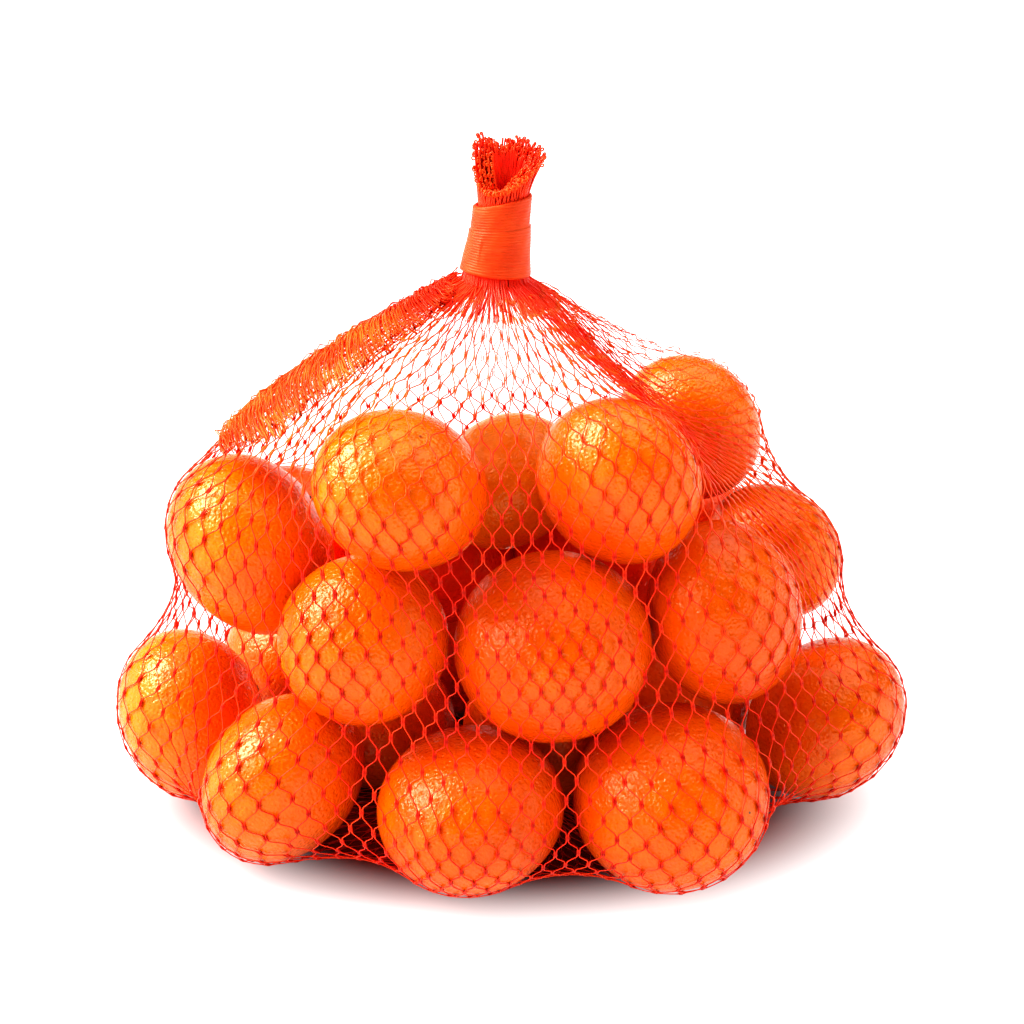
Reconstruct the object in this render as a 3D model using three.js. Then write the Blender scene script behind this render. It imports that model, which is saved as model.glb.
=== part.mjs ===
// A net bag of mandarins, tied at the neck and standing on a table.
// Millimetres, +Z up, front towards -Y. The origin is under the middle of the bag, on the table.
//
// The bag is one solid: the knitted net as a taut skin over the heap of fruit, up through the
// tie and out into the loose tuft. The tie is a ring of wound tape round the neck.
import * as THREE from 'three';

// ---- Sizes -----------------------------------------------------------------------------------
const FLATNESS = 0.82; // a mandarin's height over its width
const NET_THICKNESS = 0.8; // the knitted strands, between the fruit and the outside
const AROUND = 84; // meridians of the bag
const BAG_ROWS = 48; // rows from the middle of the underside to the neck
const SETTLING_SWEEPS = 450; // how often the net is drawn tight
const HOOP_TENSION = 0.6; // pull round the bag, against 1 along it
const PUFF = 0.24; // how far a slack stretch of the tent on the left stands out, row by row
const HEAP_MIDDLE = new THREE.Vector3(0, 0, 70); // the whole bag can be seen from here
const HALVINGS = 24; // steps in the search for where a fruit comes to rest

// The net is open, so between the fruit the eye sees past it, into the hollows of the heap.
// The skin sinks into them by this share of their depth, up to this much, but not in the tent.
const SINK_SHARE = 0.75;
const SINK_LIMIT = 16;
const SINK_FULL_BELOW = 105;
const SINK_NONE_ABOVE = 150;
const SINK_SMOOTHING = 2; // rounds of evening out afterwards

// The slack bag before it is drawn tight, wider than the heap everywhere.
const SLACK_HALF_LENGTH = 160;
const SLACK_HALF_DEPTH = 112;
const SLACK_SHOULDER = 125; // the bag narrows above this height
const SLACK_FOOT_SHARE = 0.2; // share of the rows under the heap
const SLACK_SHOULDER_SHARE = 0.68; // share of the rows below the shoulder
const FLAT_ROWS = 5; // rows of the underside that lie flat on the table

const NECK_HEIGHT = 190; // where the net enters the tie
const NECK_CENTRE = new THREE.Vector2(-5, 1);
const TIE_LIFT = 1.9; // from the neck up to the tie
const TIE_HEIGHT = 24;
const TIE_LEAN = 2.6; // the tie leans to the right by this much over its height
const TIE_BOTTOM_RADIUS = 12;
const TIE_TOP_RADIUS = 9.9;
const TIE_WALL = 1.2;
const TIE_GAP = 0.3; // clear space between the tie and the net inside it
const TIE_STEP_AT = 0.62; // share of the height where the upper winding ends
const TIE_STEP = 0.5;
const TIE_FLARE_EASE = 1.2; // power by which the lower winding widens towards its foot
const TIE_EDGE = 0.25; // how far the two edges are drawn in
const TIE_RIM_SLANT = 1.8; // the upper rim is this much higher on the right and lower on the left
const TIE_FOOT_SLANT = 1.2; // the lower rim is this much higher on the left
const TIE_SIDES = 44;
const TIE_COURSES = 12;

const PLEATS = 12; // gathers where the net runs into the tie
const PLEAT_DEPTH = 1.3;
const PLEAT_REACH = 70; // how far down from the neck they can be seen

const TUFT_LOW_RIM = 3.5; // front edge of the open tuft, above the tie
const TUFT_ROWS = 5;
const TUFT_WALL = 1.2;
const TUFT_MOUTH_DEPTH = 1.6; // floor of the open tuft, above the tie
const TUFT_FLARE_EASE = 1.4; // power by which the strands spread towards their ends
const TUFT_TAPER = 5; // how much thicker the wall grows towards the tie
// The tuft flares into lobes: direction from the front, width, height and spread of each.
const TUFT_LOBES = [
  { direction: -125, width: 50, height: 17, spread: 1.6 },
  { direction: 150, width: 48, height: 13, spread: 2.4 },
  { direction: 82, width: 42, height: 7, spread: 5.0 },
];

// The fruit in the order it is put in. at: place on the plan. width: across its equator.
// lean and toward: how far its stalk tips from upright, and to which side, in degrees.
// A fruit marked floor lies on the table; every other one comes down onto those before it.
const FRUIT = [
  { at: [-114, -5], width: 63, lean: 75, toward: 20, floor: true },
  { at: [-76, -50], width: 61, lean: 64, toward: 150, floor: true },
  { at: [-13, -65], width: 63, lean: 12, toward: -130, floor: true },
  { at: [53, -61], width: 66, lean: 31, toward: -107, floor: true },
  { at: [113, -4], width: 63, lean: 50, toward: 170, floor: true },
  { at: [-50, 5], width: 62, lean: 20, toward: 0, floor: true },
  { at: [14, -12], width: 63, lean: 50, toward: 90, floor: true },
  { at: [62, 25], width: 60, lean: 35, toward: -60, floor: true },
  { at: [-27, 62], width: 60, lean: 15, toward: 80, floor: true },
  { at: [30, 69], width: 56, lean: 60, toward: 100, floor: true },
  { at: [-87, 67], width: 56, lean: 30, toward: -150, floor: true },
  { at: [-48, -51], width: 57, lean: 60, toward: -100 },
  { at: [14, -50], width: 66, lean: 40, toward: -97 },
  { at: [72, -32], width: 63, lean: 75, toward: -20 },
  { at: [-82, 61], width: 61, lean: 40, toward: 60 },
  { at: [-27, 35], width: 61, lean: 40, toward: 120 },
  { at: [31, 27], width: 58, lean: 30, toward: 60 },
  { at: [71, 72], width: 62, lean: 50, toward: 80 },
  { at: [-89, -10], width: 66, lean: 60, toward: 15 },
  { at: [96, 24], width: 53, lean: 60, toward: 30 },
  { at: [-1, 5], width: 54, lean: 30, toward: 200 },
  { at: [-35, -48], width: 58, lean: 28, toward: -48 },
  { at: [35, -39], width: 57, lean: 75, toward: 55 },
  { at: [65, 41], width: 56, lean: 72, toward: 50 },
];

// ---- The heap of fruit -----------------------------------------------------------------------
const radians = THREE.MathUtils.degToRad;
const UP = new THREE.Vector3(0, 0, 1);

// How far a mandarin reaches from its centre in a unit direction.
function reach(fruit, direction) {
  const along = fruit.stalk.dot(direction);
  return (fruit.width / 2) * Math.sqrt(1 - (1 - FLATNESS ** 2) * along ** 2);
}

// The height at which a fruit comes to rest on one below it, or 0 if it misses it.
function restingHeight(fruit, below) {
  const offset = new THREE.Vector2(fruit.at[0] - below.at[0], fruit.at[1] - below.at[1]);
  const furthest = (fruit.width + below.width) / 2;
  if (offset.length() >= furthest) return 0;
  let low = 0;
  let high = furthest;
  for (let halving = 0; halving < HALVINGS; halving++) {
    const middle = (low + high) / 2;
    const apart = new THREE.Vector3(offset.x, offset.y, middle);
    const distance = apart.length();
    apart.normalize();
    const touching = reach(fruit, apart) + reach(below, apart);
    if (distance < touching) low = middle;
    else high = middle;
  }
  return below.centre.z + high;
}

function pileUp(list) {
  const pile = [];
  for (const { at, width, lean, toward, floor } of list) {
    const stalk = new THREE.Vector3(
      Math.sin(radians(lean)) * Math.cos(radians(toward)),
      Math.sin(radians(lean)) * Math.sin(radians(toward)),
      Math.cos(radians(lean)),
    );
    const fruit = { at, width, stalk };
    let height = reach(fruit, UP) + NET_THICKNESS;
    if (!floor) {
      for (const below of pile) height = Math.max(height, restingHeight(fruit, below));
    }
    fruit.centre = new THREE.Vector3(at[0], at[1], height);
    pile.push(fruit);
  }
  return pile;
}

// How far from the middle of the heap a ray leaves a fruit with the net over it, or 0.
function exitDistance(direction, fruit) {
  const half = fruit.width / 2 + NET_THICKNESS;
  const squash = (vector) =>
    vector.clone().addScaledVector(fruit.stalk, vector.dot(fruit.stalk) * (1 / FLATNESS - 1));
  const ray = squash(direction);
  const start = squash(HEAP_MIDDLE.clone().sub(fruit.centre));
  const a = ray.lengthSq();
  const b = ray.dot(start);
  const inside = b * b - a * (start.lengthSq() - half * half);
  return inside > 0 ? (Math.sqrt(inside) - b) / a : 0;
}

// ---- Closed surfaces from rows of points -----------------------------------------------------
// rows: equal rings of points, counter-clockwise from above, the first one lowest.
// first and last: the points that close the two ends, or nothing for a ring that joins itself.
function surfaceFromRows(rows, first, last) {
  const sides = rows[0].length;
  const positions = rows.flat().flatMap((point) => point.toArray());
  const faces = [];
  const corner = (row, side) => (row % rows.length) * sides + (side % sides);
  const bands = first ? rows.length - 1 : rows.length;
  for (let row = 0; row < bands; row++) {
    for (let side = 0; side < sides; side++) {
      const a = corner(row, side);
      const b = corner(row, side + 1);
      const c = corner(row + 1, side + 1);
      const d = corner(row + 1, side);
      if ((row + side) % 2) faces.push(a, b, c, a, c, d);
      else faces.push(a, b, d, b, c, d);
    }
  }
  if (first) {
    const bottom = rows.length * sides;
    positions.push(...first.toArray(), ...last.toArray());
    for (let side = 0; side < sides; side++) {
      faces.push(bottom, corner(0, side + 1), corner(0, side));
      faces.push(bottom + 1, corner(rows.length - 1, side), corner(rows.length - 1, side + 1));
    }
  }
  const geometry = new THREE.BufferGeometry();
  geometry.setAttribute('position', new THREE.Float32BufferAttribute(positions, 3));
  geometry.setIndex(faces);
  geometry.computeVertexNormals();
  return geometry;
}

// ---- The tie ---------------------------------------------------------------------------------
// Outer radius and centre of the tie at a share of its height, from foot to rim.
function tieRadius(share) {
  const flare = TIE_BOTTOM_RADIUS - TIE_TOP_RADIUS - TIE_STEP;
  if (share > TIE_STEP_AT) return TIE_TOP_RADIUS;
  return TIE_TOP_RADIUS + TIE_STEP + flare * (1 - share / TIE_STEP_AT) ** TIE_FLARE_EASE;
}

function tiePoint(share, angle, inset) {
  const radius = tieRadius(share) - inset;
  const side = Math.cos(angle);
  const slant = share * TIE_RIM_SLANT * side - (1 - share) * TIE_FOOT_SLANT * side;
  return new THREE.Vector3(
    NECK_CENTRE.x + TIE_LEAN * share + radius * side,
    NECK_CENTRE.y + radius * Math.sin(angle),
    NECK_HEIGHT + TIE_LIFT + TIE_HEIGHT * share + slant,
  );
}

function tieGeometry() {
  const ring = (share, inset) =>
    Array.from({ length: TIE_SIDES }, (_, side) =>
      tiePoint(share, (2 * Math.PI * side) / TIE_SIDES, inset));
  const rows = [];
  for (let course = 0; course <= TIE_COURSES; course++) {
    const share = course / TIE_COURSES;
    rows.push(ring(share, share === 0 || share === 1 ? TIE_EDGE : 0));
  }
  for (let course = TIE_COURSES; course >= 0; course -= 2) {
    rows.push(ring(course / TIE_COURSES, TIE_WALL));
  }
  return surfaceFromRows(rows);
}

// ---- The bag ---------------------------------------------------------------------------------
const meridian = (side) => (2 * Math.PI * side) / AROUND;

function slackBag() {
  const neckRadius = TIE_BOTTOM_RADIUS - TIE_WALL - TIE_GAP;
  const rows = [];
  for (let row = 1; row <= BAG_ROWS; row++) {
    const share = row / BAG_ROWS;
    const { clamp } = THREE.MathUtils;
    const rise = (share - SLACK_FOOT_SHARE) / (SLACK_SHOULDER_SHARE - SLACK_FOOT_SHARE);
    const tent = clamp((share - SLACK_SHOULDER_SHARE) / (1 - SLACK_SHOULDER_SHARE), 0, 1);
    const height = SLACK_SHOULDER * clamp(rise, 0, 1) + (NECK_HEIGHT - SLACK_SHOULDER) * tent;
    const spread = Math.min(1, share / SLACK_FOOT_SHARE) * (1 - tent);
    const ring = [];
    for (let side = 0; side < AROUND; side++) {
      const angle = meridian(side);
      const alongX = SLACK_HALF_LENGTH * spread + neckRadius * tent;
      const alongY = SLACK_HALF_DEPTH * spread + neckRadius * tent;
      ring.push(new THREE.Vector3(
        NECK_CENTRE.x * tent + alongX * Math.cos(angle),
        NECK_CENTRE.y * tent + alongY * Math.sin(angle),
        height,
      ));
    }
    rows.push(ring);
  }
  return rows;
}

// Where a ray from the middle of the heap passes nearest to the line through two points.
function crossing(direction, p, q) {
  const line = q.clone().sub(p).normalize();
  const start = p.clone().sub(HEAP_MIDDLE);
  const slope = direction.dot(line);
  return (start.dot(direction) - start.dot(line) * slope) / (1 - slope * slope);
}

// Draws the net tight over the heap. Each point slides on its own ray from the middle of the
// heap, towards the lines between its neighbours, and stops at the fruit or the table.
function drawTight(rows, pile) {
  const underside = new THREE.Vector3(0, 0, 0);
  const rays = rows.slice(0, -1).map((ring) => ring.map((point) => {
    const direction = point.clone().sub(HEAP_MIDDLE).normalize();
    const nearest = Math.max(...pile.map((fruit) => exitDistance(direction, fruit)));
    const furthest = direction.z < 0 ? -HEAP_MIDDLE.z / direction.z : Infinity;
    return { direction, nearest, furthest };
  }));
  for (let sweep = 0; sweep < SETTLING_SWEEPS; sweep++) {
    rays.forEach((ring, row) => ring.forEach((ray, side) => {
      const below = row ? rows[row - 1][side] : underside;
      const left = rows[row][(side + AROUND - 1) % AROUND];
      const right = rows[row][(side + 1) % AROUND];
      const along = crossing(ray.direction, below, rows[row + 1][side]);
      const round = crossing(ray.direction, left, right);
      const puff = row > BAG_ROWS * SLACK_SHOULDER_SHARE ? PUFF * Math.max(0, -ray.direction.x) : 0;
      const drawn = (along + HOOP_TENSION * round) / (1 + HOOP_TENSION) + puff;
      ray.distance = Math.min(Math.max(drawn, ray.nearest), ray.furthest);
      if (row < FLAT_ROWS) ray.distance = ray.furthest;
      rows[row][side].copy(HEAP_MIDDLE).addScaledVector(ray.direction, ray.distance);
    }));
  }
  sink(rows, rays);
  for (const point of rows.flat()) {
    if (point.z < NET_THICKNESS) point.z = 0;
  }
}

// Lets the skin sink into the hollows between the fruit, and evens it out.
function sink(rows, rays) {
  const { smoothstep } = THREE.MathUtils;
  const standing = rays.slice(FLAT_ROWS);
  standing.forEach((ring, row) => ring.forEach((ray, side) => {
    const { z } = rows[row + FLAT_ROWS][side];
    const share = SINK_SHARE * (1 - smoothstep(z, SINK_FULL_BELOW, SINK_NONE_ABOVE));
    ray.distance -= Math.min(share * (ray.distance - ray.nearest), share * SINK_LIMIT);
  }));
  for (let round = 0; round < SINK_SMOOTHING; round++) {
    standing.slice(0, -1).forEach((ring, row) => ring.forEach((ray, side) => {
      const beside = [
        rays[row + FLAT_ROWS - 1][side],
        standing[row + 1][side],
        ring[(side + AROUND - 1) % AROUND],
        ring[(side + 1) % AROUND],
      ];
      const mean = beside.reduce((sum, other) => sum + other.distance, 0) / beside.length;
      ray.distance = Math.max((ray.distance + mean) / 2, ray.nearest);
    }));
  }
  standing.forEach((ring, row) => ring.forEach((ray, side) => {
    rows[row + FLAT_ROWS][side].copy(HEAP_MIDDLE).addScaledVector(ray.direction, ray.distance);
  }));
}

// Gathers the net into pleats that fade away below the neck.
function pleat(rows) {
  for (const ring of rows.slice(0, -1)) {
    ring.forEach((point, side) => {
      const out = new THREE.Vector2(point.x, point.y).sub(NECK_CENTRE);
      const distance = Math.hypot(out.length(), NECK_HEIGHT - point.z);
      if (distance > PLEAT_REACH) return;
      const fade = Math.sin((Math.PI * distance) / PLEAT_REACH) ** 2;
      out.setLength(PLEAT_DEPTH * fade * Math.cos(PLEATS * meridian(side)));
      point.x += out.x;
      point.y += out.y;
    });
  }
}

// Height above the tie and outward spread of the tuft's rim at an angle.
function tuftRim(angle) {
  const rim = { height: TUFT_LOW_RIM, spread: 0 };
  for (const lobe of TUFT_LOBES) {
    const direction = radians(lobe.direction - 90);
    const away = Math.atan2(Math.sin(angle - direction), Math.cos(angle - direction));
    const share = Math.exp(-((away / radians(lobe.width)) ** 2));
    rim.height += lobe.height * share;
    rim.spread += lobe.spread * share;
  }
  return rim;
}

// The rows of net through the tie, up the outside of the tuft and down into its open mouth.
function stemAndTuft() {
  const inset = TIE_WALL + TIE_GAP;
  const ring = (place) => Array.from({ length: AROUND }, (_, side) => place(meridian(side)));
  const rows = [];
  for (let course = 2; course <= TIE_COURSES; course += 2) {
    rows.push(ring((angle) => tiePoint(course / TIE_COURSES, angle, inset)));
  }
  const flared = (angle, share, wall) => {
    const rim = tuftRim(angle);
    const point = tiePoint(1, angle, inset + wall - rim.spread * share ** TUFT_FLARE_EASE);
    point.z += rim.height * share;
    return point;
  };
  for (let row = 1; row <= TUFT_ROWS; row++) {
    rows.push(ring((angle) => flared(angle, row / TUFT_ROWS, 0)));
  }
  for (let row = TUFT_ROWS; row > 1; row--) {
    rows.push(ring((angle) => {
      const share = row / TUFT_ROWS;
      const point = flared(angle, share, TUFT_WALL + TUFT_TAPER * (1 - share));
      point.z = Math.max(point.z, tiePoint(1, angle, inset).z + TUFT_MOUTH_DEPTH);
      return point;
    }));
  }
  return rows;
}

function bagGeometry() {
  const rows = slackBag();
  drawTight(rows, pileUp(FRUIT));
  pleat(rows);
  const mouth = new THREE.Vector3(NECK_CENTRE.x + TIE_LEAN, NECK_CENTRE.y, 0);
  mouth.z = tiePoint(1, Math.PI / 2, 0).z + TUFT_MOUTH_DEPTH;
  return surfaceFromRows([...rows, ...stemAndTuft()], new THREE.Vector3(0, 0, 0), mouth);
}

// ---- The object ------------------------------------------------------------------------------
const netMaterial = new THREE.MeshStandardMaterial({ color: 0xf0641e, roughness: 0.4 });
const tapeMaterial = new THREE.MeshStandardMaterial({ color: 0xee6a30, roughness: 0.55 });

const netOfMandarins = new THREE.Group();
const bag = new THREE.Mesh(bagGeometry(), netMaterial);
bag.name = 'net';
const tie = new THREE.Mesh(tieGeometry(), tapeMaterial);
tie.name = 'band';
netOfMandarins.add(bag, tie);

export default netOfMandarins;
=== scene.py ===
"""A net bag of mandarins: peel, knitted strands, wound tape and tuft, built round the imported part."""

import math

import bpy
import numpy as np
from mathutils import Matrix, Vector
from mathutils.bvhtree import BVHTree


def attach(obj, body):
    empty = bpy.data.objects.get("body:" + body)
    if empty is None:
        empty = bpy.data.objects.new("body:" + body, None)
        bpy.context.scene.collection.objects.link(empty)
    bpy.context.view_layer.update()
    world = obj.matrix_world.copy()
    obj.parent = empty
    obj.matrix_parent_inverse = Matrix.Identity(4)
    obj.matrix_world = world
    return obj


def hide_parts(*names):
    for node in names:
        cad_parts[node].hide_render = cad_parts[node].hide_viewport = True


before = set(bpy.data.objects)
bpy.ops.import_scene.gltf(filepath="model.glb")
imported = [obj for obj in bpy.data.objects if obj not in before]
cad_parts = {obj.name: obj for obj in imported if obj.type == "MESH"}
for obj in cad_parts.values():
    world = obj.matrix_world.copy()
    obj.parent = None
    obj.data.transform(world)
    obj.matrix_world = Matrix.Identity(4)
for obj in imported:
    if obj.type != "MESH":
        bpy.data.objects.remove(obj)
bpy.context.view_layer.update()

# ---- Sizes in millimetres, as in the part's source ----------------------------------------------
MM = 0.001
FLATNESS = 0.82
NET_THICKNESS = 0.8
HEAP_MIDDLE = np.array([0.0, 0.0, 70.0])
NECK_HEIGHT = 190.0
NECK_CENTRE = np.array([-5.0, 1.0])
NECK_RADIUS = 10.5
TIE_HEIGHT = 24.0
TIE_LIFT = 1.9
TIE_LEAN = 2.6
TIE_BOTTOM_RADIUS = 12.0
TIE_TOP_RADIUS = 9.9
TIE_WALL = 1.2
TIE_GAP = 0.3
TIE_STEP_AT = 0.62
TIE_STEP = 0.5
TIE_RIM_SLANT = 1.8
TIE_FOOT_SLANT = 1.2
TUFT_LOW_RIM = 3.5
# direction from the front, width, height, spread
TUFT_LOBES = [(-125, 50, 17, 1.6), (150, 48, 13, 2.4), (82, 42, 7, 5.0)]

# The slack bag before it is drawn tight
AROUND = 84
BAG_ROWS = 48
SETTLING_SWEEPS = 450
HOOP_TENSION = 0.6
PUFF = 0.24
SLACK_HALF_LENGTH = 160.0
SLACK_HALF_DEPTH = 112.0
SLACK_SHOULDER = 125.0
SLACK_FOOT_SHARE = 0.2
SLACK_SHOULDER_SHARE = 0.68
FLAT_ROWS = 5

# x, y, width, lean of the stalk, direction it leans to, on the floor
FRUIT = [
    (-114, -5, 63, 75, 20, True),
    (-76, -50, 61, 64, 150, True),
    (-13, -65, 63, 12, -130, True),
    (53, -61, 66, 31, -107, True),
    (113, -4, 63, 50, 170, True),
    (-50, 5, 62, 20, 0, True),
    (14, -12, 63, 50, 90, True),
    (62, 25, 60, 35, -60, True),
    (-27, 62, 60, 15, 80, True),
    (30, 69, 56, 60, 100, True),
    (-87, 67, 56, 30, -150, True),
    (-48, -51, 57, 60, -100, False),
    (14, -50, 66, 40, -97, False),
    (72, -32, 63, 75, -20, False),
    (-82, 61, 61, 40, 60, False),
    (-27, 35, 61, 40, 120, False),
    (31, 27, 58, 30, 60, False),
    (71, 72, 62, 50, 80, False),
    (-89, -10, 66, 60, 15, False),
    (96, 24, 53, 60, 30, False),
    (-1, 5, 54, 30, 200, False),
    (-35, -48, 58, 28, -48, False),
    (35, -39, 57, 75, 55, False),
    (65, 41, 56, 72, 50, False),
]


# ---- Finishes -----------------------------------------------------------------------------------
class Value:
    """A number in a shader, so that its maths reads as plain arithmetic."""

    def __init__(self, finish, socket):
        self.finish = finish
        self.socket = socket

    def math(self, operation, first, second):
        return self.finish.node("Math", {"operation": operation}, {0: first, 1: second})

    def __add__(self, other):
        return self.math("ADD", self, other)

    def __sub__(self, other):
        return self.math("SUBTRACT", self, other)

    def __rsub__(self, other):
        return self.math("SUBTRACT", other, self)

    def __mul__(self, other):
        return self.math("MULTIPLY", self, other)

    __radd__ = __add__
    __rmul__ = __mul__


class Finish:
    """A material and the nodes that drive its shader. Constants go on the shader's own sockets."""

    def __init__(self, name, **constants):
        self.material = bpy.data.materials.new(name)
        self.material.use_nodes = True
        self.tree = self.material.node_tree
        self.shader = self.tree.nodes["Principled BSDF"]
        for socket, value in constants.items():
            self.shader.inputs[socket.replace("_", " ")].default_value = value

    def node(self, kind, settings, sockets, output=0):
        """Any other node: its type, its settings, then its sockets' values or links."""
        made = self.tree.nodes.new("ShaderNode" + kind)
        for setting, value in settings.items():
            setattr(made, setting, value)
        for socket, value in sockets.items():
            if isinstance(value, Value):
                self.tree.links.new(value.socket, made.inputs[socket])
            else:
                made.inputs[socket].default_value = value
        return Value(self, made.outputs[output])

    def feed(self, **sockets):
        for socket, value in sockets.items():
            self.tree.links.new(value.socket, self.shader.inputs[socket.replace("_", " ")])

    def place(self):
        return self.node("TexCoord", {}, {}, "Object")

    def moved(self, place, offset):
        return self.node("VectorMath", {"operation": "ADD"}, {0: place, 1: offset})

    def stretched(self, place, factors):
        return self.node("VectorMath", {"operation": "MULTIPLY"}, {0: place, 1: factors})

    def noise(self, place, scale, detail=2.0, roughness=0.5):
        sockets = {"Vector": place, "Scale": scale, "Detail": detail, "Roughness": roughness}
        return self.node("TexNoise", {}, sockets, 0)

    def cells(self, place, scale):
        sockets = {"Vector": place, "Scale": scale}
        return self.node("TexVoronoi", {}, sockets, "Distance")

    def away(self, place, point):
        return self.node("VectorMath", {"operation": "DISTANCE"}, {0: place, 1: point}, "Value")

    def step(self, value, low, high):
        """0 where value is at or below low, rising smoothly to 1 at high."""
        sockets = {"Value": value, "From Min": low, "From Max": high}
        return self.node("MapRange", {"interpolation_type": "SMOOTHSTEP"}, sockets)

    def mix(self, mask, first, second):
        sockets = {0: mask, 6: first, 7: second}
        return self.node("Mix", {"data_type": "RGBA"}, sockets, 2)

    def bump(self, height, depth, strength=1.0):
        sockets = {"Height": height, "Distance": depth, "Strength": strength}
        return self.node("Bump", {}, sockets)


def peel_finish(name, seed, tone_and_shade, marks):
    """Glossy pored mandarin peel. Its third argument: how deep the colour is, 0 lighter, 1 deeper;
    partly the fruit's own tone, partly painted shade and painted light. marks: small dark scars (place,
    size).
    """
    peel = Finish(
        name,
        Subsurface_Weight=0.08,
        Subsurface_Radius=(1.0, 0.2, 0.02),
        Subsurface_Scale=0.003,
        IOR=1.52,
        Specular_Tint=(1.0, 0.92, 0.66, 1.0),
    )
    place = peel.place()
    own = peel.moved(place, (seed * 0.37, seed * 0.11, seed * 0.23))
    blotches = peel.step(peel.noise(own, 38.0, 3.0, 0.55), 0.36, 0.68)
    # the lighter and deeper tones move with the third argument, partly the fruit's own tone and partly
    # painted shade and painted light
    light = (0.90, 0.188 - 0.047 * tone_and_shade, 0.0, 1.0)
    deep = (0.82, 0.134 - 0.033 * tone_and_shade, 0.0, 1.0)
    colour = peel.mix(blotches, deep, light)
    pore_field = peel.cells(own, 760.0)
    pores = 1 - peel.step(pore_field, 0.05, 0.42)
    freckles = pores * peel.step(peel.noise(own, 120.0, 1.0), 0.42, 0.6)
    colour = peel.mix(freckles * 0.2, colour, (0.84, 0.085, 0.0, 1.0))
    for point, size in marks:
        spot = 1 - peel.step(peel.away(place, point), size * 0.55, size)
        colour = peel.mix(spot, colour, (0.10, 0.022, 0.006, 1.0))
    dimples = peel.step(peel.cells(own, 620.0), 0.0, 0.6)
    relief = dimples * 0.8 + peel.noise(own, 700.0, 2.0) * 1.6 + peel.noise(own, 200.0, 2.0) * 2.0
    peel.feed(Base_Color=colour)
    peel.feed(Roughness=0.16 + 0.12 * peel.noise(own, 90.0, 2.0))
    peel.feed(Normal=peel.bump(relief, 0.00022, 1.0))
    return peel.material


def net_finish():
    """Glossy plastic yarn: orange-red, deeper in the knots, and painted light in a paler orange: on the
    left band, on the right side, at the tent's knots and at the tuft's tips.
    """
    yarn = Finish("net_yarn", IOR=1.5, Specular_Tint=(1.0, 0.6, 0.4, 1.0))
    place = yarn.place()
    knot = yarn.node("Attribute", {"attribute_name": "knot"}, {}, "Fac")
    painted_lit = yarn.node("Attribute", {"attribute_name": "painted_lit"}, {}, "Fac")
    tone = yarn.step(yarn.noise(place, 70.0, 2.0), 0.35, 0.65)
    thin = yarn.mix(tone, (0.92, 0.026, 0.008, 1.0), (1.0, 0.075, 0.014, 1.0))
    thick = yarn.mix(tone, (0.50, 0.004, 0.002, 1.0), (0.70, 0.014, 0.003, 1.0))
    # painted light: the paler orange that the yarn takes where it is lit
    painted_lit_colour = yarn.mix(tone, (0.98, 0.095, 0.006, 1.0), (1.0, 0.190, 0.018, 1.0))
    yarn.feed(Base_Color=yarn.mix(painted_lit, yarn.mix(knot, thin, thick), painted_lit_colour))
    yarn.feed(Roughness=0.26 + 0.16 * yarn.noise(place, 400.0, 1.0))
    return yarn.material


def tape_finish():
    """Satin stretch tape with fine stretch lines round it, paler where it is pulled thin."""
    tape = Finish("wound_tape", Subsurface_Weight=0.1, Subsurface_Radius=(1.0, 0.3, 0.1),
                  Subsurface_Scale=0.001, IOR=1.48, Specular_Tint=(1.0, 0.7, 0.45, 1.0))
    place = tape.place()
    round_lines = tape.noise(tape.stretched(place, (60.0, 60.0, 2600.0)), 1.0, 3.0, 0.6)
    cloud = tape.step(tape.noise(place, 90.0, 3.0), 0.3, 0.7)
    colour = tape.mix(cloud, (0.70, 0.048, 0.003, 1.0), (0.80, 0.080, 0.007, 1.0))
    colour = tape.mix(tape.step(round_lines, 0.55, 0.75) * 0.4, colour, (0.98, 0.22, 0.07, 1.0))
    tape.feed(Base_Color=colour)
    tape.feed(Roughness=0.36 + 0.2 * round_lines)
    tape.feed(Normal=tape.bump(round_lines, 0.0002, 0.6))
    return tape.material


def stalk_finish():
    """Dry grey-green calyx of a mandarin."""
    stalk = Finish("stalk_end", Roughness=0.8)
    place = stalk.place()
    tone = stalk.step(stalk.noise(place, 500.0, 3.0), 0.35, 0.65)
    stalk.feed(Base_Color=stalk.mix(tone, (0.09, 0.10, 0.03, 1.0), (0.22, 0.20, 0.08, 1.0)))
    stalk.feed(Normal=stalk.bump(tone, 0.0003))
    return stalk.material


# ---- Meshes -------------------------------------------------------------------------------------
def add_piece(name, points, faces, finish, strips=None):
    """A smooth mesh from points in millimetres. strips: the UV place of every corner, in order."""
    mesh = bpy.data.meshes.new(name)
    faces = faces if isinstance(faces, list) else faces.tolist()
    mesh.from_pydata((points * MM).tolist(), [], faces)
    mesh.shade_smooth()
    mesh.materials.append(finish)
    if strips is not None:
        layer = mesh.uv_layers.new(name="OFBake")
        layer.data.foreach_set("uv", strips.astype(np.float32).ravel())
    piece = bpy.data.objects.new(name, mesh)
    bpy.context.scene.collection.objects.link(piece)
    return piece


def finish_piece(piece, node):
    """Every piece rides on the one body and stands for a part of one of its solids."""
    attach(piece, "root")
    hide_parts(node)


def unit(vectors):
    return vectors / np.maximum(np.linalg.norm(vectors, axis=-1, keepdims=True), 1e-9)


def grid_faces(rows, sides, wrap_sides=True, wrap_rows=False):
    """Quads between neighbouring rows of points, with the rows' points counter-clockwise."""
    row_index = np.arange(rows if wrap_rows else rows - 1)[:, None]
    side_index = np.arange(sides if wrap_sides else sides - 1)[None, :]
    next_row = (row_index + 1) % rows
    next_side = (side_index + 1) % sides
    corners = [
        row_index * sides + side_index,
        row_index * sides + next_side,
        next_row * sides + next_side,
        next_row * sides + side_index,
    ]
    return np.stack(corners, -1).reshape(-1, 4)


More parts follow.
